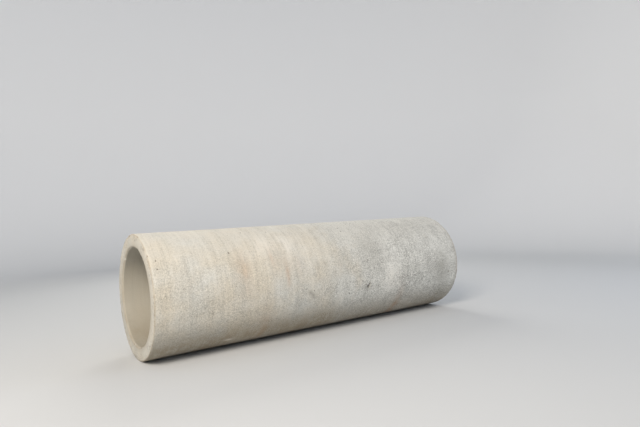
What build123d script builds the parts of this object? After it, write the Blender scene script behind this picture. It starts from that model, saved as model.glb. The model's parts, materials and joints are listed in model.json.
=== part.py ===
"""Plain-ended reinforced concrete culvert pipe, cast as one piece and lying on its side."""

import os

from build123d import *

# Driving dimensions, in millimetres
pipe_length = 2500.0  # from end face to end face
bore_diameter = 600.0  # clear waterway
wall_thickness = 85.0  # concrete and its buried reinforcement together
outer_arris_radius = 6.0  # worn corner between the barrel and an end face
mouth_bevel = 8.0  # bevel that the mould's end ring leaves at each mouth of the bore

# The pipe lies along X, with its lowest line on the floor at z = 0
bore_radius = bore_diameter / 2
barrel_radius = bore_radius + wall_thickness
mean_radius = bore_radius + wall_thickness / 2
pipe_axis = Axis((0, 0, barrel_radius), (1, 0, 0))
section_plane = Plane(origin=(0, 0, barrel_radius), x_dir=(1, 0, 0), z_dir=(0, -1, 0))

with BuildPart() as culvert_pipe:
    # One side of the lengthwise section, its Y being the distance from the pipe's axis
    with BuildSketch(section_plane) as wall_section:
        with Locations((0, mean_radius)):
            Rectangle(pipe_length, wall_thickness)
        fillet(wall_section.vertices().group_by(Axis.Y)[-1], outer_arris_radius)
        chamfer(wall_section.vertices().group_by(Axis.Y)[0], mouth_bevel)
    revolve(axis=pipe_axis)

culvert_pipe.part.label = "culvert_pipe"

os.makedirs("parts", exist_ok=True)
export_step(culvert_pipe.part, "parts/culvert_pipe.step")
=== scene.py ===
"""Looks of a reinforced concrete culvert pipe, spun in a steel mould and kept in the open.

The whole skin of the pipe is one closed grid of points: the barrel, the two end faces, the
bevelled mouths and the bore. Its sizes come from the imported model. The relief that casting and
handling leave is always cut into the concrete, so the pipe never grows past its own sizes.
"""
import json
import math
from collections import namedtuple
from functools import partial

import bpy
import numpy as np
from bpy.props import FloatProperty, FloatVectorProperty, IntProperty, PointerProperty
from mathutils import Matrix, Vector


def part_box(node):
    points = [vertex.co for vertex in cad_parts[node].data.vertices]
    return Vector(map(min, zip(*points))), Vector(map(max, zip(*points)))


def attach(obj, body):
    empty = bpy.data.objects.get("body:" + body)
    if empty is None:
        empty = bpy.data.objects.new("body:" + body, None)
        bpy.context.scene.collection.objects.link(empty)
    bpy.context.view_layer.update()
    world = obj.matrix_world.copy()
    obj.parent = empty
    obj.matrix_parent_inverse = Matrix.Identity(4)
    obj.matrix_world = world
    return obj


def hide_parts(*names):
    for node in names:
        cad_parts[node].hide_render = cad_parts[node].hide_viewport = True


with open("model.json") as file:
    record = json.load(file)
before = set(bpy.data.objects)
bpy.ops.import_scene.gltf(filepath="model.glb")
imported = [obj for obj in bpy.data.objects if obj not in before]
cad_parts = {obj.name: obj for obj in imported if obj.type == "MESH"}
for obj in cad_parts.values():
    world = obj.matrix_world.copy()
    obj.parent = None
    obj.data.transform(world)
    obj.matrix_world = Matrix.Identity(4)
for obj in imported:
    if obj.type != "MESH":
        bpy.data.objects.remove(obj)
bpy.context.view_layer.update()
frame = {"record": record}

bl_info = {
    "name": "Culvert Pipe",
    "version": (1, 0, 0),
    "blender": (4, 5, 0),
    "location": "View3D > Sidebar > Culvert",
    "description": "Casts a weathered concrete culvert pipe and lights it in a plain studio",
    "category": "Add Mesh",
}

MM = 0.001
MOUNTS = {mount["name"]: mount["dims"] for mount in frame["record"]["mounts"]}
PIPE_LOW, PIPE_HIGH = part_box("culvert_pipe")
PIPE_LENGTH = PIPE_HIGH.x - PIPE_LOW.x
PIPE_RADIUS = MOUNTS["barrel"]["r_mm"] * MM
BORE_RADIUS = MOUNTS["bore"]["r_mm"] * MM
ARRIS_RADIUS = (PIPE_LENGTH - MOUNTS["barrel"]["length_mm"] * MM) / 2
MOUTH_BEVEL = (PIPE_LENGTH - MOUNTS["bore"]["length_mm"] * MM) / 2
AXIS_HEIGHT = PIPE_LOW.z + PIPE_RADIUS

# Marks on the barrel. The place is metres along the pipe from its middle, the angle is degrees
# from the top towards the front, and the width and turn are the mark's half sizes along the
# pipe, in metres, and round it, in degrees. The first three marks of grime make one scuff.
Mark = namedtuple("Mark", "kind place angle width turn strength")
MARKS = (
    Mark("rust", -0.695, 72, 0.045, 18, 0.28),
    Mark("rust", -0.384, 79, 0.015, 11, 0.44),
    Mark("rust", -0.487, 61, 0.012, 9, 0.22),
    Mark("rust", -0.430, 62, 0.070, 16, 0.11),
    Mark("rust", -0.290, 70, 0.050, 12, 0.11),
    Mark("rust", 0.625, 136, 0.032, 22, 0.45),
    Mark("rust", 0.655, 162, 0.030, 14, 0.40),
    Mark("rust", -0.540, 130, 0.034, 24, 0.25),
    Mark("rust", 1.246, 100, 0.014, 55, 0.22),
    # Partly painted light: this pale dash near the bottom stands for scratches and a spot of light
    Mark("cement milk", -0.752, 143, 0.034, 2, 0.70),
    Mark("cement milk", -0.430, 48, 0.180, 16, 0.50),
    Mark("cement milk", 0.520, 98, 0.110, 18, 0.40),
    Mark("grime", -0.226, 99.5, 0.014, 2.2, 0.85),
    Mark("grime", -0.205, 102.5, 0.014, 2.2, 1.00),
    Mark("grime", -0.184, 105.5, 0.014, 2.2, 0.85),
    Mark("grime", -0.152, 75, 0.008, 7, 0.60),
    Mark("grime", 0.268, 105, 0.030, 4, 0.75),
    # Partly painted shade: darkens the rim of the right end where shade fell on it
    Mark("grime", 1.250, 92, 0.026, 60, 0.55),
    Mark("grime", 0.330, 62, 0.130, 22, 0.40),
    Mark("grime", 1.060, 96, 0.085, 21, 0.62),
    Mark("grime", 0.060, 74, 0.060, 14, 0.30),
)

# Deep air holes on the barrel, with their half sizes along the pipe and round it, and their
# depths, in metres
Hole = namedtuple("Hole", "place angle half_length half_width depth")
HOLES = (
    Hole(0.285, 102.8, 0.013, 0.014, 0.008),
    Hole(0.296, 100.2, 0.009, 0.010, 0.006),
    Hole(1.140, 100.0, 0.008, 0.008, 0.005),
    Hole(-0.760, 51.0, 0.007, 0.007, 0.004),
)

# The lengthwise section of the wall: each point's place along the pipe, its radius and its
# normal into the concrete
Section = namedtuple("Section", "x r nx nr")

# The patterns and the stones that the layers of the concrete share, each a node or its output
Patterns = namedtuple("Patterns", "place tone blotch sand grit streak stone stone_colour")


def linear(code):
    """The linear red, green, blue and alpha of an sRGB hex colour."""
    srgb = np.array([int(code[i:i + 2], 16) for i in (1, 3, 5)]) / 255
    rgb = np.where(srgb <= 0.04045, srgb / 12.92, ((srgb + 0.055) / 1.055) ** 2.4)
    return (*rgb.tolist(), 1.0)


class CulvertSkin(bpy.types.PropertyGroup):
    """Sizes of the pipe's skin"""

    columns: IntProperty(
        name="Columns", description="Points round the pipe", default=384, min=48)
    fine_step: FloatProperty(
        name="Fine step", description="Gap between rings of points beside an end or a deep hole",
        default=4.2 * MM, unit="LENGTH")
    fine_reach: FloatProperty(
        name="Fine reach", description="How far the fine steps reach to each side",
        default=24 * MM, unit="LENGTH")
    barrel_step: FloatProperty(
        name="Barrel step", description="Gap between rings of points on the barrel",
        default=24 * MM, unit="LENGTH")
    bore_step: FloatProperty(
        name="Bore step", description="Gap between rings of points in the bore",
        default=36 * MM, unit="LENGTH")
    face_step: FloatProperty(
        name="Face step", description="Gap between rings of points on an end face",
        default=7.5 * MM, unit="LENGTH")
    mould_wave: FloatProperty(
        name="Mould wave", description="Depth of the slow waves that the steel mould leaves",
        default=1.5 * MM, unit="LENGTH")
    ring_depth: FloatProperty(
        name="Ring depth", description="Depth of the shallow rings round the barrel",
        default=0.5 * MM, unit="LENGTH")
    bore_ripple: FloatProperty(
        name="Bore ripple", description="Depth of the ripples that spinning leaves in the bore",
        default=2.0 * MM, unit="LENGTH")
    face_roughness: FloatProperty(
        name="Face roughness", description="Depth of the rough end faces",
        default=1.2 * MM, unit="LENGTH")
    arris_wear: FloatProperty(
        name="Arris wear", description="Depth of the wear along the corners of the ends",
        default=2.5 * MM, unit="LENGTH")
    chip_depth: FloatProperty(
        name="Chip depth", description="Depth of the largest chip broken from a corner",
        default=7.0 * MM, unit="LENGTH")
    seed: IntProperty(name="Seed", description="Start of the random draws", default=11)


def finish_colour(name, description, code):
    """A colour of the finish that a user may change, given as sRGB hex."""
    return FloatVectorProperty(
        name=name, description=description, default=linear(code), subtype="COLOR", size=4,
        min=0.0, max=1.0)


class CulvertFinish(bpy.types.PropertyGroup):
    """Colours of the concrete and of what has settled on it, and the sizes of its patterns"""

    cloud: FloatProperty(
        name="Cloud", description="Width of the clouds in the skin's tone",
        default=300 * MM, unit="LENGTH")
    patch: FloatProperty(
        name="Patch", description="Width of the patches that lean to grey or to cream",
        default=220 * MM, unit="LENGTH")
    blotch: FloatProperty(
        name="Blotch", description="Width of the blotches in the skin and of the dirt on it",
        default=70 * MM, unit="LENGTH")
    streak_width: FloatProperty(
        name="Streak width", description="Width of the streaks that spinning leaves",
        default=20 * MM, unit="LENGTH")
    streak_length: FloatProperty(
        name="Streak length", description="Length of those streaks round the pipe",
        default=500 * MM, unit="LENGTH")
    stone: FloatProperty(
        name="Stone", description="Pitch of the largest crushed stones", default=16 * MM,
        unit="LENGTH")
    small_stone: FloatProperty(
        name="Small stone", description="Pitch of the stones between them", default=7 * MM,
        unit="LENGTH")
    sand: FloatProperty(
        name="Sand", description="Width of the sand grains as drawn for a far view",
        default=8 * MM, unit="LENGTH")
    grit: FloatProperty(
        name="Grit", description="True width of the sand grains", default=2 * MM,
        unit="LENGTH")
    paste: finish_colour("Cement paste", "Dry cement skin in the mean", "#cbc8be")
    # Also paints one spot of light near the bottom
    cement_milk: finish_colour(
        "Cement milk", "Pale skin where the cement milk dried thickest", "#e7e3da")
    dense_paste: finish_colour("Dense paste", "Darker skin where the paste is dense", "#a09d94")
    # Its cool grey also paints shade over the right part of the pipe
    cool_paste_and_painted_shade: finish_colour("Cool paste", "Grey cement between the warm patches", "#bbbdba")
    warm_paste: finish_colour("Warm paste", "Cement tinted by the iron in its sand", "#d9cdb6")
    dark_sand: finish_colour("Dark sand", "Grains that the rain has bared", "#8e8a80")
    bore_slurry: finish_colour(
        "Bore slurry", "Fine grey slurry that spinning brings to the bore", "#b1ac9f")
    # Painted shade: the dark inside of the holes stands for the shade in them
    air_hole_painted_shade: finish_colour("Air hole", "Inside of the small air holes", "#5f5a50")
    brown_stone: finish_colour("Brown stone", "Brown aggregate in broken places", "#94836b")
    grey_stone: finish_colour("Grey stone", "Grey aggregate in broken places", "#7f807d")
    rust: finish_colour("Rust", "Rust washed off steel that touched the pipe", "#a0703f")
    # Painted shade as well as dried mud: it darkens the underside
    soil: finish_colour("Soil", "Dried mud on the underside", "#7d6c4e")
    # Also paints shade along the rim of the right end
    grime: finish_colour("Grime", "Grey rubbed-in dirt", "#85827a")


class CulvertStudio(bpy.types.PropertyGroup):
    """Sizes, colours and lamps of the studio"""

    floor_radius: FloatProperty(
        name="Floor radius", description="Flat part of the studio floor",
        default=6.0, unit="LENGTH")
    painted_radius: FloatProperty(
        name="Painted radius", description="Where the floor's paint starts to fade to the wall's",
        default=4.5, unit="LENGTH")
    sweep_radius: FloatProperty(
        name="Sweep radius", description="Curve between the floor and the backdrop",
        default=3.0, unit="LENGTH")
    wall_height: FloatProperty(
        name="Wall height", description="Height of the backdrop", default=7.0, unit="LENGTH")
    floor_paint: finish_colour("Floor paint", "Paint of the studio floor", "#cccecf")
    wall_paint: finish_colour("Wall paint", "Paint of the backdrop", "#f8f9fa")
    sky: finish_colour("Sky", "Colour of the light from above", "#e6edf7")
    sky_strength: FloatProperty(
        name="Sky strength", description="Strength of the light from above", default=0.42)
    key_power: FloatProperty(
        name="Key power", description="Power of the lamp at the front left",
        default=366, unit="POWER")
    fill_power: FloatProperty(
        name="Fill power", description="Power of the lamp at the front right",
        default=46, unit="POWER")
    back_power: FloatProperty(
        name="Back power", description="Power of the lamp behind the pipe",
        default=135, unit="POWER")
    lens: FloatProperty(
        name="Lens", description="Focal length on a sensor 36 mm wide, in millimetres",
        default=28.4)
    camera_place: FloatVectorProperty(
        name="Camera place", description="Where the camera stands",
        default=(-2.076, -3.162, 0.856), subtype="TRANSLATION", unit="LENGTH")
    camera_turn: FloatVectorProperty(
        name="Camera turn", description="The camera's rotation about X, Y and Z",
        default=[math.radians(angle) for angle in (89.745, 2.528, -35.136)],
        subtype="EULER", unit="ROTATION")


def steps(start, end, spacing):
    """Evenly spaced positions from start up to, but without, end, no wider apart than spacing."""
    return np.linspace(start, end, max(1, math.ceil(abs(end - start) / spacing)), endpoint=False)


def spread(start, end, coarse, skin, places=(), samples=20001):
    """Positions from start up to, but without, end, finer beside both and beside the places.

    They stand at equal steps of the integral of 1 / spacing from the start, which is summed
    over the samples.
    """
    way = np.linspace(start, end, samples)
    near = np.abs(way[:, None] - [start, end, *places]).min(1) < skin.fine_reach
    crowding = abs(way[1] - way[0]) / np.where(near, skin.fine_step, coarse)
    total = np.cumsum(crowding) - crowding[0]
    count = math.ceil(total[-1])
    return np.interp(np.arange(count) * total[-1] / count, total, way)


def section_loop(skin):
    """The closed lengthwise section of the wall.

    The loop runs along the barrel to the right end, round the outer arris, which is the arc
    (half length - a + a sin t, radius - a + a cos t), down the end face, over the 45 degree
    bevel of the mouth, back along the bore, and up the left end, the right end mirrored.
    """
    half = PIPE_LENGTH / 2
    turn = steps(0, math.pi / 2, math.pi / 8)
    face = steps(PIPE_RADIUS - ARRIS_RADIUS, BORE_RADIUS + MOUTH_BEVEL, skin.face_step)
    bevel = np.linspace(0, MOUTH_BEVEL, 4)
    slope = math.sin(math.radians(45))
    end_x = np.concatenate([
        half - ARRIS_RADIUS * (1 - np.sin(turn)), np.full(len(face), half), half - bevel])
    end_r = np.concatenate([
        PIPE_RADIUS - ARRIS_RADIUS * (1 - np.cos(turn)), face, BORE_RADIUS + MOUTH_BEVEL - bevel])
    end_nx = -np.concatenate([np.sin(turn), np.ones(len(face)), np.full(len(bevel), slope)])
    end_nr = np.concatenate([-np.cos(turn), np.zeros(len(face)), np.full(len(bevel), slope)])

    barrel_x = spread(
        ARRIS_RADIUS - half, half - ARRIS_RADIUS, skin.barrel_step, skin,
        [hole.place for hole in HOLES])
    bore_x = spread(half - MOUTH_BEVEL, MOUTH_BEVEL - half, skin.bore_step, skin)[1:]
    barrel, bore = np.ones(len(barrel_x)), np.ones(len(bore_x))
    return Section(
        x=np.concatenate([barrel_x, end_x, bore_x, -end_x[:0:-1]]),
        r=np.concatenate([barrel * PIPE_RADIUS, end_r, bore * BORE_RADIUS, end_r[:0:-1]]),
        nx=np.concatenate([barrel * 0, end_nx, bore * 0, -end_nx[:0:-1]]),
        nr=np.concatenate([-barrel, end_nr, bore, end_nr[:0:-1]]),
    )


def parts_of(section):
    """How far each point's normal makes it part of the barrel, the bore and an end face."""
    return np.clip(-section.nr, 0, 1), np.clip(section.nr, 0, 1), section.nx ** 2


def waves(angle, run, girth, turns, pitch, draw, count=160):
    """A random field from -1 to 1 over the skin, with no seam either way.

    It is a sum of cosines cos(m a + 2 pi n s / girth + f), divided by its largest value: a is
    the angle, s the distance along the section, f a random phase, and m and n are whole numbers
    drawn up to turns and up to girth / pitch. A cosine weighs 1 / (0.3 + its quickness), where
    the quickness is its m and n as shares of the largest, taken together by Pythagoras.
    """
    m = draw.integers(-turns, turns + 1, count)
    n = draw.integers(0, int(girth / pitch) + 1, count)
    phase = draw.uniform(0, 2 * math.pi, count)
    weight = 1 / (0.3 + np.hypot(m / (turns + 1), n * pitch / girth))
    turned = np.outer(angle, m) + phase
    along = np.outer(n, 2 * math.pi * run / girth)
    field = (weight * np.cos(turned)) @ np.cos(along) - (weight * np.sin(turned)) @ np.sin(along)
    return field / np.abs(field).max()


def turn_apart(angle, other):
    """The turn from one direction about the axis to another, from -pi to pi."""
    return (angle - other + math.pi) % (2 * math.pi) - math.pi


def bowl(round_it, along, ragged):
    """A hollow one deep, the root of 1 - (way round)^2 - (way along)^2 where above nought.

    The ways from its middle are in its own half sizes, and a ragged field frets its outline.
    """
    far = (round_it[:, None] ** 2 + along[None, :] ** 2) * (1 + 0.7 * ragged)
    return np.sqrt(np.clip(1 - far, 0, None))


def chipped_corner(angle, run, radius, corner, ragged, count, deepest, draw):
    """Chips broken out of one corner, as a depth over the skin.

    Each is a bowl, the smallest 18 mm round the pipe and 10 mm along the section, and the
    largest 58 and 32 mm. Its way round is an arc of the pipe from the chip's middle, and its way
    along follows the section from the corner.
    """
    depth = np.zeros((len(angle), len(run)))
    for middle, size in zip(draw.uniform(0, 2 * math.pi, count), draw.power(0.5, count)):
        half_arc, half_way = (9 + 20 * size) * MM, (5 + 11 * size) * MM
        chip = bowl(
            radius * turn_apart(angle, middle) / half_arc, (run - run[corner]) / half_way, ragged)
        depth = np.maximum(depth, deepest * (0.3 + 0.7 * size) * chip)
    return depth


def deep_holes(angle, x, ragged):
    """The deep air holes, as a depth over the skin, each a bowl about its own place."""
    depth = np.zeros((len(angle), len(x)))
    for hole in HOLES:
        arc = PIPE_RADIUS * turn_apart(angle, math.radians(hole.angle)) / hole.half_width
        way = (x - hole.place) / hole.half_length
        depth = np.maximum(depth, hole.depth * bowl(arc, way, ragged))
    return depth


def marks_of(kind, angle, x):
    """The marks of one kind, each a bell exp(-(way along / width)^2 - (way round / turn)^2)."""
    total = np.zeros((len(angle), len(x)))
    for mark in MARKS:
        if mark.kind == kind:
            turned = turn_apart(angle, math.radians(mark.angle)) / math.radians(mark.turn)
            along = (x - mark.place) / mark.width
            total += mark.strength * np.outer(np.exp(-turned ** 2), np.exp(-along ** 2))
    return np.clip(total, 0, 1)


def smooth(value, low, high):
    """Nought below low and one above high, with an S curve between."""
    t = np.clip((value - low) / (high - low), 0, 1)
    return t * t * (3 - 2 * t)


def weathering(section, angle, slow, worn, chipped):
    """The masks that the material reads, one for each part of the skin and each kind of wear.

    The skin turns greyer and cooler along the pipe, from 0.3 m left of its middle to 0.6 m right
    of it, partly in the concrete and partly as painted shade. The speckle of bared sand grows with
    that, most on the front, and is weakest along the crown.
    """
    outside, inside, face = parts_of(section)
    turned = angle[:, None]
    all_round = np.ones_like(turned)
    top, bottom = smooth(np.cos(turned), 0.4, 0.95), smooth(-np.cos(turned), 0.30, 0.90)
    front, side = smooth(np.sin(turned), -0.6, 0.6), smooth(-np.cos(turned), -0.75, 0.35)
    # Greyer, cooler and grainier to the right: partly the concrete, partly painted shade
    thin_skin = smooth(section.x, -0.3, 0.6)
    speckle = (0.64 + (0.65 + 0.40 * front) * thin_skin) * (0.72 + 0.45 * side)
    depth_in_wall = np.clip((PIPE_RADIUS - section.r) / (PIPE_RADIUS - BORE_RADIUS), 0, 1)
    return {
        "bore": all_round * inside,
        "end_face": all_round * face,
        "depth_in_wall": all_round * depth_in_wall,
        "thin_skin": all_round * thin_skin * (1 - 0.5 * face),
        "speckle": speckle * outside,
        "chipped": np.clip(chipped / (1.5 * MM), 0, 1),
        "worn": all_round * np.clip(worn, 0, 1),
        "dust": top * outside,
        # Darker and browner along the underside: dried mud and painted shade
        "soil": bottom * (outside + 0.5 * inside) * (0.75 + 0.25 * slow),
        "rust": marks_of("rust", angle, section.x) * outside,
        "cement_milk": marks_of("cement milk", angle, section.x) * outside,
        "grime": marks_of("grime", angle, section.x) * outside,
    }


def skin_of_pipe(skin):
    """The pipe's points, its four-sided faces and the masks that its material reads.

    A point is the section's point moved into the concrete by its depth, then turned about the
    axis to (x, -r sin a, axis height + r cos a), where the angle a runs from the top to the front.
    """
    draw = np.random.default_rng(skin.seed)
    section = section_loop(skin)
    x, r, nx, nr = section
    step = np.hypot(np.roll(x, -1) - x, np.roll(r, -1) - r)
    run, girth = np.concatenate([[0.0], np.cumsum(step)[:-1]]), step.sum()
    angle = np.linspace(0, 2 * math.pi, skin.columns, endpoint=False)
    field = partial(waves, angle, run, girth, draw=draw)

    slow = field(turns=5, pitch=500 * MM)
    rings = field(turns=2, pitch=70 * MM)
    ripple = field(turns=4, pitch=100 * MM)
    rough = field(turns=110, pitch=22 * MM, count=420)
    ragged = field(turns=170, pitch=12 * MM, count=420)

    half, wear_reach = PIPE_LENGTH / 2, 7 * MM
    corners = [
        (np.hypot(x - end, r - radius).argmin(), radius, chips)
        for radius, chips in ((PIPE_RADIUS, 7), (BORE_RADIUS, 5)) for end in (-half, half)]
    worn = sum(np.exp(-((run - run[corner]) / wear_reach) ** 2) for corner, _, _ in corners)
    chipped = sum(
        chipped_corner(angle, run, radius, corner, ragged, chips, skin.chip_depth, draw)
        for corner, radius, chips in corners)

    outside, inside, face = parts_of(section)
    depth = (
        skin.mould_wave * (1 + slow) / 2 * outside
        + skin.ring_depth * (1 + rings) / 2 * outside
        + deep_holes(angle, x, ragged) * outside
        + skin.bore_ripple * (1 + ripple) / 2 * inside
        + skin.face_roughness * (1 + rough) / 2 * face
        + skin.arris_wear * np.clip(0.25 + ragged + 0.5 * rough, 0, 1) * worn
        + chipped)
    turned = angle[:, None]
    radius = r + nr * depth
    points = np.stack([
        x + nx * depth,
        -radius * np.sin(turned),
        AXIS_HEIGHT + radius * np.cos(turned)], -1).reshape(-1, 3)

    i, j = np.meshgrid(np.arange(skin.columns), np.arange(len(x)), indexing="ij")
    next_i, next_j = (i + 1) % skin.columns, (j + 1) % len(x)
    faces = np.stack([
        i * len(x) + j, next_i * len(x) + j, next_i * len(x) + next_j, i * len(x) + next_j], -1)

    masks = weathering(section, angle, slow, worn, chipped)
    return points, faces.reshape(-1, 4).tolist(), masks


def add_node(tree, kind, settings, links):
    """Adds a node to the tree, with its settings and its links.

    A link's key is an input's name, or its place among the inputs in use. Its value is a number,
    a colour, an output, or another node, which stands for its first output in use.
    """
    node = tree.nodes.new(kind)
    for name, value in settings.items():
        setattr(node, name, value)
    in_use = [socket for socket in node.inputs if socket.enabled]
    for key, value in links.items():
        socket = in_use[key] if isinstance(key, int) else next(s for s in in_use if s.name == key)
        if isinstance(value, bpy.types.Node):
            value = next(output for output in value.outputs if output.enabled)
        if isinstance(value, bpy.types.NodeSocket):
            tree.links.new(value, socket)
        else:
            socket.default_value = value
    return node


def empty_material(name):
    """A material with no nodes yet, and the call that adds one to it."""
    material = bpy.data.materials.new(name)
    material.use_nodes = True
    material.node_tree.nodes.clear()
    return material, partial(add_node, material.node_tree)


def air_holes(node, mask, pattern):
    """Air holes left against the mould, one where a hole is and nought elsewhere.

    Two sizes come from jolted cells, each with a hole at its middle unless it is among the
    share that stays whole, and the deep ones are ragged balls about their places. The bore,
    which met no mould, has none.
    """
    jolt = node("ShaderNodeVectorMath", {"operation": "SCALE"}, {
        "Vector": pattern.sand.outputs["Color"], "Scale": 4 * MM})
    jolted = node("ShaderNodeVectorMath", {"operation": "ADD"}, {0: pattern.place, 1: jolt})
    found = 0.0
    for cell, hole, whole in ((18 * MM, 2.0 * MM, 0.70), (60 * MM, 4.5 * MM, 0.82)):
        cells = node("ShaderNodeTexVoronoi", {}, {"Vector": jolted, "Scale": 1 / cell})
        round_hole = node("ShaderNodeMapRange", {"interpolation_type": "SMOOTHSTEP"}, {
            "Value": cells.outputs["Distance"], "From Min": 0.6 * hole / cell,
            "From Max": 1.4 * hole / cell, "To Min": 1.0, "To Max": 0.0})
        lot = node("ShaderNodeSeparateColor", {}, {"Color": cells.outputs["Color"]})
        chosen = node("ShaderNodeMath", {"operation": "GREATER_THAN"}, {0: lot, 1: whole})
        here = node("ShaderNodeMath", {"operation": "MULTIPLY"}, {0: round_hole, 1: chosen})
        found = node("ShaderNodeMath", {"operation": "MAXIMUM"}, {0: found, 1: here})
    for hole in HOLES:
        angle = math.radians(hole.angle)
        middle = (
            hole.place, -PIPE_RADIUS * math.sin(angle), AXIS_HEIGHT + PIPE_RADIUS * math.cos(angle))
        away = node("ShaderNodeVectorMath", {"operation": "SUBTRACT"}, {
            0: pattern.place, 1: middle})
        sized = node("ShaderNodeVectorMath", {"operation": "DIVIDE"}, {
            0: away, 1: (hole.half_length, hole.half_width, hole.half_width)})
        reach = node("ShaderNodeVectorMath", {"operation": "LENGTH"}, {0: sized})
        frayed = node("ShaderNodeMath", {"operation": "MULTIPLY_ADD"}, {
            0: pattern.sand, 1: 0.8, 2: reach})
        here = node("ShaderNodeMapRange", {"interpolation_type": "SMOOTHSTEP"}, {
            "Value": frayed, "From Min": 1.0, "From Max": 1.6, "To Min": 1.0, "To Max": 0.0})
        found = node("ShaderNodeMath", {"operation": "MAXIMUM"}, {0: found, 1: here})
    moulded = node("ShaderNodeMath", {"operation": "SUBTRACT"}, {0: 1.0, 1: mask["bore"]})
    return node("ShaderNodeMath", {"operation": "MULTIPLY"}, {0: found, 1: moulded})


def crushed_stones(node, place, finish):
    """Crushed stones with smaller ones between them, as where they are and a colour.

    The cells of a jolted pattern are shrunk away from each other by different gaps, and a share
    of them is sunk out of sight.
    """
    jolt = node("ShaderNodeVectorMath", {"operation": "SCALE"}, {
        "Vector": node("ShaderNodeTexNoise", {}, {
            "Vector": place, "Scale": 1 / (12 * MM), "Detail": 2.0}).outputs["Color"],
        "Scale": 7 * MM})
    jolted = node("ShaderNodeVectorMath", {"operation": "ADD"}, {0: place, 1: jolt})
    stone, colour = 0.0, finish.paste
    for cell, sunk in ((finish.small_stone, 0.45), (finish.stone, 0.35)):
        cells = node("ShaderNodeTexVoronoi", {}, {"Vector": jolted, "Scale": 1 / cell})
        gaps = node("ShaderNodeTexVoronoi", {"feature": "DISTANCE_TO_EDGE"}, {
            "Vector": jolted, "Scale": 1 / cell})
        lot = node("ShaderNodeSeparateColor", {}, {"Color": cells.outputs["Color"]})
        from_edge = node("ShaderNodeMath", {"operation": "MULTIPLY_ADD"}, {
            0: lot.outputs["Red"], 1: -0.22, 2: gaps})
        shape = node("ShaderNodeMapRange", {"interpolation_type": "SMOOTHSTEP"}, {
            "Value": from_edge, "From Min": 0.03, "From Max": 0.10})
        bared = node("ShaderNodeMath", {"operation": "GREATER_THAN"}, {
            0: lot.outputs["Blue"], 1: sunk})
        here = node("ShaderNodeMath", {"operation": "MULTIPLY"}, {0: shape, 1: bared})
        tint = node("ShaderNodeMix", {"data_type": "RGBA"}, {
            0: lot.outputs["Green"], 1: finish.grey_stone, 2: finish.brown_stone})
        colour = node("ShaderNodeMix", {"data_type": "RGBA"}, {0: here, 1: colour, 2: tint})
        stone = node("ShaderNodeMath", {"operation": "MAXIMUM"}, {0: stone, 1: here})
    return stone, colour


def patterns(node, finish):
    """The patterns that the layers of the concrete share."""
    place = node("ShaderNodeTexCoord", {}, {}).outputs["Object"]
    # Clouds in the skin's tone break up octave by octave
    tone = node("ShaderNodeTexNoise", {}, {
        "Vector": place, "Scale": 1 / finish.cloud, "Detail": 5.0, "Roughness": 0.70})
    blotch = node("ShaderNodeTexNoise", {}, {
        "Vector": place, "Scale": 1 / finish.blotch, "Detail": 3.0, "Roughness": 0.7})
    # Sand of 1 to 2 mm is too fine to show, so it is drawn 8 mm across, with finer grains in it,
    # and once more at its own size for a near view
    sand = node("ShaderNodeTexNoise", {}, {
        "Vector": place, "Scale": 1 / finish.sand, "Detail": 3.0, "Roughness": 0.8})
    grit = node("ShaderNodeTexNoise", {}, {
        "Vector": place, "Scale": 1 / finish.grit, "Detail": 1.0, "Roughness": 0.6})
    # The spinning draws the streaks out round the pipe
    stretched = node("ShaderNodeMapping", {}, {
        "Vector": place,
        "Scale": (1 / finish.streak_width, 1 / finish.streak_length, 1 / finish.streak_length)})
    streak = node("ShaderNodeTexNoise", {}, {
        "Vector": stretched, "Scale": 1.0, "Detail": 3.0, "Roughness": 0.7})
    return Patterns(place, tone, blotch, sand, grit, streak, *crushed_stones(node, place, finish))


def mould_skin(node, finish, mask, pattern):
    """The cement skin that the mould leaves, from bared sand over dense paste to cement milk.

    Its shade is 0.5 plus each pattern's swing about its mean. Clouds, blotches and sand swing
    further where the skin is speckled, and sand further still where the tone is dark.
    """
    cloudy = node("ShaderNodeMath", {"operation": "MULTIPLY_ADD"}, {
        0: mask["speckle"], 1: 0.28, 2: -0.02})
    blotchy = node("ShaderNodeMath", {"operation": "MULTIPLY"}, {0: mask["speckle"], 1: 0.17})
    bared = node("ShaderNodeMapRange", {"interpolation_type": "SMOOTHSTEP"}, {
        "Value": pattern.tone, "From Min": 0.62, "From Max": 0.40, "To Min": 0.8, "To Max": 1.05})
    grainy = node("ShaderNodeMath", {"operation": "MULTIPLY"}, {0: bared, 1: mask["speckle"]})
    shade = 0.5
    for swing, part in (
            (cloudy, pattern.tone), (blotchy, pattern.blotch), (0.22, pattern.streak),
            (grainy, pattern.sand), (0.25, pattern.grit)):
        apart = node("ShaderNodeMath", {"operation": "SUBTRACT"}, {0: part, 1: 0.5})
        shade = node("ShaderNodeMath", {"operation": "MULTIPLY_ADD"}, {
            0: apart, 1: swing, 2: shade})
    colour = finish.dark_sand
    for low, high, paler in (
            (0.22, 0.36, finish.dense_paste), (0.36, 0.52, finish.paste),
            (0.52, 0.72, finish.cement_milk)):
        amount = node("ShaderNodeMapRange", {}, {"Value": shade, "From Min": low, "From Max": high})
        colour = node("ShaderNodeMix", {"data_type": "RGBA"}, {0: amount, 1: colour, 2: paler})
    # Patches lean to cool grey towards the right, which is partly painted shade, and to cream
    # elsewhere
    patch = node("ShaderNodeTexNoise", {}, {
        "Vector": pattern.place, "Scale": 1 / finish.patch, "Detail": 4.0, "Roughness": 0.6})
    drift = node("ShaderNodeMath", {"operation": "MULTIPLY_ADD"}, {
        0: mask["thin_skin"], 1: 0.40, 2: patch})
    for low, high, most, tint in (
            (0.56, 0.72, 0.60, finish.cool_paste_and_painted_shade), (0.54, 0.36, 0.42, finish.warm_paste)):
        amount = node("ShaderNodeMapRange", {}, {
            "Value": drift, "From Min": low, "From Max": high, "To Max": most})
        colour = node("ShaderNodeMix", {"data_type": "RGBA", "blend_type": "COLOR"}, {
            0: amount, 1: colour, 2: tint})
    return colour


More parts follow.
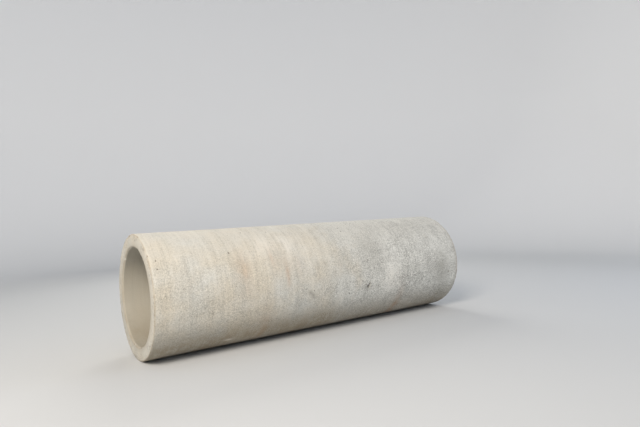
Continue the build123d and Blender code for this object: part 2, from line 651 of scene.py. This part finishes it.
def wall_section(node, finish, mask, pattern, colour):
    """Fine slurry over the bore, and end faces that grade into it from the stony outside."""
    slurry_on_face = node("ShaderNodeMapRange", {"interpolation_type": "SMOOTHSTEP"}, {
        "Value": mask["depth_in_wall"], "From Min": 0.45, "From Max": 0.90, "To Max": 0.7})
    slurry = node("ShaderNodeMath", {"operation": "MAXIMUM"}, {
        0: node("ShaderNodeMath", {"operation": "MULTIPLY"}, {
            0: slurry_on_face, 1: mask["end_face"]}),
        1: node("ShaderNodeMath", {"operation": "MULTIPLY"}, {0: mask["bore"], 1: 0.75})})
    colour = node("ShaderNodeMix", {"data_type": "RGBA"}, {
        0: slurry, 1: colour, 2: finish.bore_slurry})
    stony = node("ShaderNodeMapRange", {"interpolation_type": "SMOOTHSTEP"}, {
        "Value": mask["depth_in_wall"], "From Min": 0.85, "From Max": 0.35, "To Max": 0.55})
    rubbed = node("ShaderNodeMapRange", {"interpolation_type": "SMOOTHSTEP"}, {
        "Value": pattern.blotch, "From Min": 0.42, "From Max": 0.60})
    amount = mask["end_face"]
    for share in (stony, rubbed, pattern.stone):
        amount = node("ShaderNodeMath", {"operation": "MULTIPLY"}, {0: amount, 1: share})
    return node("ShaderNodeMix", {"data_type": "RGBA"}, {
        0: amount, 1: colour, 2: pattern.stone_colour})


def settled_dirt(node, finish, mask, pattern, colour):
    """Grime, dust, mud, cement milk and rust, laid on the skin in patches one after another.

    The mud also paints shade along the underside, the grime paints shade along the right end's rim,
    and one dash of cement milk paints a spot of light.
    """
    patchy = node("ShaderNodeMapRange", {"interpolation_type": "SMOOTHSTEP"}, {
        "Value": node("ShaderNodeMix", {}, {0: 0.5, 1: pattern.streak, 2: pattern.blotch}),
        "From Min": 0.35, "From Max": 0.60})
    for name, cover, least, most in (
            ("grime", finish.grime, 0.1, 0.9), ("dust", finish.paste, 0.15, 0.45),
            ("soil", finish.soil, 0.5, 1.0), ("cement_milk", finish.cement_milk, 0.2, 1.0),
            ("rust", finish.rust, 0.3, 1.0)):
        amount = node("ShaderNodeMapRange", {}, {
            "Value": patchy, "To Min": least, "To Max": most})
        laid = node("ShaderNodeMath", {"operation": "MULTIPLY"}, {0: mask[name], 1: amount})
        colour = node("ShaderNodeMix", {"data_type": "RGBA"}, {0: laid, 1: colour, 2: cover})
    return colour


def broken_places(node, finish, mask, pattern, holes, colour):
    """Brown sand along worn corners, stones in fresh paste in the chips, and painted shade in the
    air holes.
    """
    wear = node("ShaderNodeMapRange", {}, {
        "Value": pattern.blotch, "From Min": 0.3, "From Max": 0.7, "To Min": 0.1, "To Max": 0.6})
    rubbed = node("ShaderNodeMath", {"operation": "MULTIPLY"}, {0: mask["worn"], 1: wear})
    # Painted shade in the air holes
    dark = node("ShaderNodeMath", {"operation": "MULTIPLY"}, {0: holes, 1: 0.8})
    for amount, bared in (
            (rubbed, finish.brown_stone), (mask["chipped"], pattern.stone_colour),
            (dark, finish.air_hole_painted_shade)):
        colour = node("ShaderNodeMix", {"data_type": "RGBA"}, {0: amount, 1: colour, 2: bared})
    return colour


def spun_concrete(finish, masks):
    """Spun concrete, cast against a steel mould and dried in the open.

    The mould leaves a matt skin of cement paste over sand: cream where cement milk dried thick,
    greyer where it is dense, peppered with sand and air holes, and faintly streaked round the
    pipe by the spinning. Towards the right the skin turns greyer and cooler, partly as painted
    shade, and the air holes are painted dark as shade. The end faces grade from stony concrete
    outside to fine slurry at the bore. Chips show grey and brown stones, and rust, mud, grime and
    dust lie on the skin. The mud also paints shade along the underside, the dirt at the right end
    paints shade along its rim, and one pale dash of cement milk paints a spot of light.
    """
    material, node = empty_material("spun_concrete")
    mask = {
        name: node("ShaderNodeAttribute", {"attribute_name": name}, {}).outputs["Fac"]
        for name in masks}
    pattern = patterns(node, finish)
    holes = air_holes(node, mask, pattern)
    colour = mould_skin(node, finish, mask, pattern)
    colour = wall_section(node, finish, mask, pattern, colour)
    colour = settled_dirt(node, finish, mask, pattern, colour)
    colour = broken_places(node, finish, mask, pattern, holes, colour)

    # Heights in millimetres
    height = node("ShaderNodeMath", {"operation": "MULTIPLY"}, {0: holes, 1: -2.0})
    proud = node("ShaderNodeMath", {"operation": "MULTIPLY"}, {
        0: mask["chipped"], 1: pattern.stone})
    for part, rise in (
            (pattern.sand, 1.6), (pattern.grit, 0.25), (pattern.blotch, 1.2),
            (pattern.streak, 0.5), (proud, 1.5)):
        height = node("ShaderNodeMath", {"operation": "MULTIPLY_ADD"}, {
            0: part, 1: rise, 2: height})
    bump = node("ShaderNodeBump", {}, {"Strength": 1.0, "Distance": MM, "Height": height})
    roughness = node("ShaderNodeMapRange", {}, {
        "Value": pattern.tone, "From Min": 0.35, "From Max": 0.65, "To Min": 0.95, "To Max": 0.84})
    shader = node("ShaderNodeBsdfPrincipled", {}, {
        "Base Color": colour, "Roughness": roughness, "IOR": 1.5, "Normal": bump})
    node("ShaderNodeOutputMaterial", {}, {"Surface": shader})
    return material


def put_in_scene(name, points, faces, material):
    """A new smooth object of that name, unturned at the origin, with its place in its mesh."""
    mesh = bpy.data.meshes.new(name)
    mesh.from_pydata(points.tolist(), [], faces)
    mesh.shade_smooth()
    mesh.materials.append(material)
    piece = bpy.data.objects.new(name, mesh)
    bpy.context.scene.collection.objects.link(piece)
    return piece


class CULVERT_OT_cast_pipe(bpy.types.Operator):
    """Cast the pipe: its skin, with mould waves, worn corners and chips, and its concrete"""

    bl_idname = "culvert.cast_pipe"
    bl_label = "Cast the pipe"

    def execute(self, context):
        points, faces, masks = skin_of_pipe(context.scene.culvert_skin)
        material = spun_concrete(context.scene.culvert_finish, masks)
        pipe = put_in_scene("pipe", points, faces, material)
        for name, values in masks.items():
            layer = pipe.data.attributes.new(name, "FLOAT", "POINT")
            layer.data.foreach_set("value", values.astype(np.float32).ravel())
        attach(pipe, "root")
        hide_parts("culvert_pipe")
        return {"FINISHED"}


def matt_emulsion(studio):
    """Matt emulsion, rolled: even and dull, with no shine, and paler towards the wall."""
    material, node = empty_material("matt_emulsion")
    place = node("ShaderNodeTexCoord", {}, {}).outputs["Object"]
    level = node("ShaderNodeVectorMath", {"operation": "MULTIPLY"}, {
        0: place, 1: (1.0, 1.0, 0.0)})
    away = node("ShaderNodeVectorMath", {"operation": "LENGTH"}, {0: level})
    up_wall = node("ShaderNodeMapRange", {"interpolation_type": "SMOOTHSTEP"}, {
        "Value": away, "From Min": studio.painted_radius,
        "From Max": studio.floor_radius + studio.sweep_radius})
    colour = node("ShaderNodeMix", {"data_type": "RGBA"}, {
        0: up_wall, 1: studio.floor_paint, 2: studio.wall_paint})
    shader = node("ShaderNodeBsdfDiffuse", {}, {"Color": colour})
    node("ShaderNodeOutputMaterial", {}, {"Surface": shader})
    return material


def studio_bowl(studio, turns=128, bends=24, floor_step=0.3):
    """The floor and backdrop as one bowl: points (r cos a, r sin a, z) and their faces.

    Its half section is a flat run, a quarter circle up and an upright run, and a fan of
    triangles about one point closes the middle.
    """
    edge, sweep = studio.floor_radius, studio.sweep_radius
    flat = steps(0, edge, floor_step)[1:]
    turn = np.linspace(0, math.pi / 2, bends)
    r = np.concatenate([flat, edge + sweep * np.sin(turn), [edge + sweep]])
    z = np.concatenate([0 * flat, sweep * (1 - np.cos(turn)), [studio.wall_height]])
    angle = np.linspace(0, 2 * math.pi, turns, endpoint=False)[:, None]
    rings = np.stack([r * np.cos(angle), r * np.sin(angle), z + 0 * angle], -1).reshape(-1, 3)
    points = np.concatenate([rings, np.zeros((1, 3))])
    i, j = np.meshgrid(np.arange(turns), np.arange(len(r) - 1), indexing="ij")
    next_i = (i + 1) % turns
    sides = np.stack([
        i * len(r) + j, i * len(r) + j + 1, next_i * len(r) + j + 1, next_i * len(r) + j], -1)
    fan = np.stack([i[:, 0] * len(r), next_i[:, 0] * len(r), np.full(turns, len(rings))], -1)
    return points, sides.reshape(-1, 4).tolist() + fan.tolist()


class CULVERT_OT_set_studio(bpy.types.Operator):
    """Set the studio: the floor and backdrop, the soft lamps, the sky and the camera"""

    bl_idname = "culvert.set_studio"
    bl_label = "Set the studio"

    def execute(self, context):
        scene, studio = context.scene, context.scene.culvert_studio
        points, faces = studio_bowl(studio)
        put_in_scene("studio_bowl", points, faces, matt_emulsion(studio))

        # The key and the back lamp aim past the pipe, so that their light falls off gently
        for name, power, place, aim, size, colour in (
                ("key", studio.key_power, (-4.2, -3.2, 4.0), (1.5, 2.4, 2.6), 2.4, "#fff4e6"),
                ("fill", studio.fill_power, (4.2, -3.0, 3.2), (0.4, 0, 0.4), 3.0, "#dde8ff"),
                ("back", studio.back_power, (1.5, 4.6, 4.0), (0.4, -1.5, 2.2), 3.0, "#fffaf2")):
            data = bpy.data.lights.new(name, "AREA")
            data.size, data.energy, data.color = size, power, linear(colour)[:3]
            lamp = bpy.data.objects.new(name, data)
            lamp.location = place
            lamp.rotation_euler = (Vector(aim) - Vector(place)).to_track_quat("-Z", "Y").to_euler()
            scene.collection.objects.link(lamp)

        world = bpy.data.worlds.new("pale_sky")
        world.use_nodes = True
        sky = world.node_tree.nodes["Background"]
        sky.inputs["Color"].default_value = studio.sky
        sky.inputs["Strength"].default_value = studio.sky_strength
        scene.world = world

        camera = bpy.data.objects.new("camera", bpy.data.cameras.new("camera"))
        camera.data.lens = studio.lens
        camera.location = studio.camera_place
        camera.rotation_euler = studio.camera_turn
        scene.collection.objects.link(camera)
        scene.camera = camera
        scene.view_settings.view_transform = "Standard"
        return {"FINISHED"}


class VIEW3D_PT_culvert(bpy.types.Panel):
    """Lists the sizes and colours, with the buttons that build the pipe and the studio"""

    bl_label = "Culvert pipe"
    bl_space_type = "VIEW_3D"
    bl_region_type = "UI"
    bl_category = "Culvert"

    def draw(self, context):
        scene = context.scene
        for group, operator in (
                (scene.culvert_skin, None),
                (scene.culvert_finish, CULVERT_OT_cast_pipe.bl_idname),
                (scene.culvert_studio, CULVERT_OT_set_studio.bl_idname)):
            box = self.layout.box()
            for name in type(group).__annotations__:
                box.prop(group, name)
            if operator:
                box.operator(operator)


CLASSES = (
    CulvertSkin,
    CulvertFinish,
    CulvertStudio,
    CULVERT_OT_cast_pipe,
    CULVERT_OT_set_studio,
    VIEW3D_PT_culvert,
)


def register():
    for cls in CLASSES:
        bpy.utils.register_class(cls)
    bpy.types.Scene.culvert_skin = PointerProperty(type=CulvertSkin)
    bpy.types.Scene.culvert_finish = PointerProperty(type=CulvertFinish)
    bpy.types.Scene.culvert_studio = PointerProperty(type=CulvertStudio)


def unregister():
    del bpy.types.Scene.culvert_studio
    del bpy.types.Scene.culvert_finish
    del bpy.types.Scene.culvert_skin
    for cls in reversed(CLASSES):
        bpy.utils.unregister_class(cls)


def main():
    register()
    bpy.ops.culvert.cast_pipe()
    bpy.ops.culvert.set_studio()


if __name__ == "__main__":
    main()
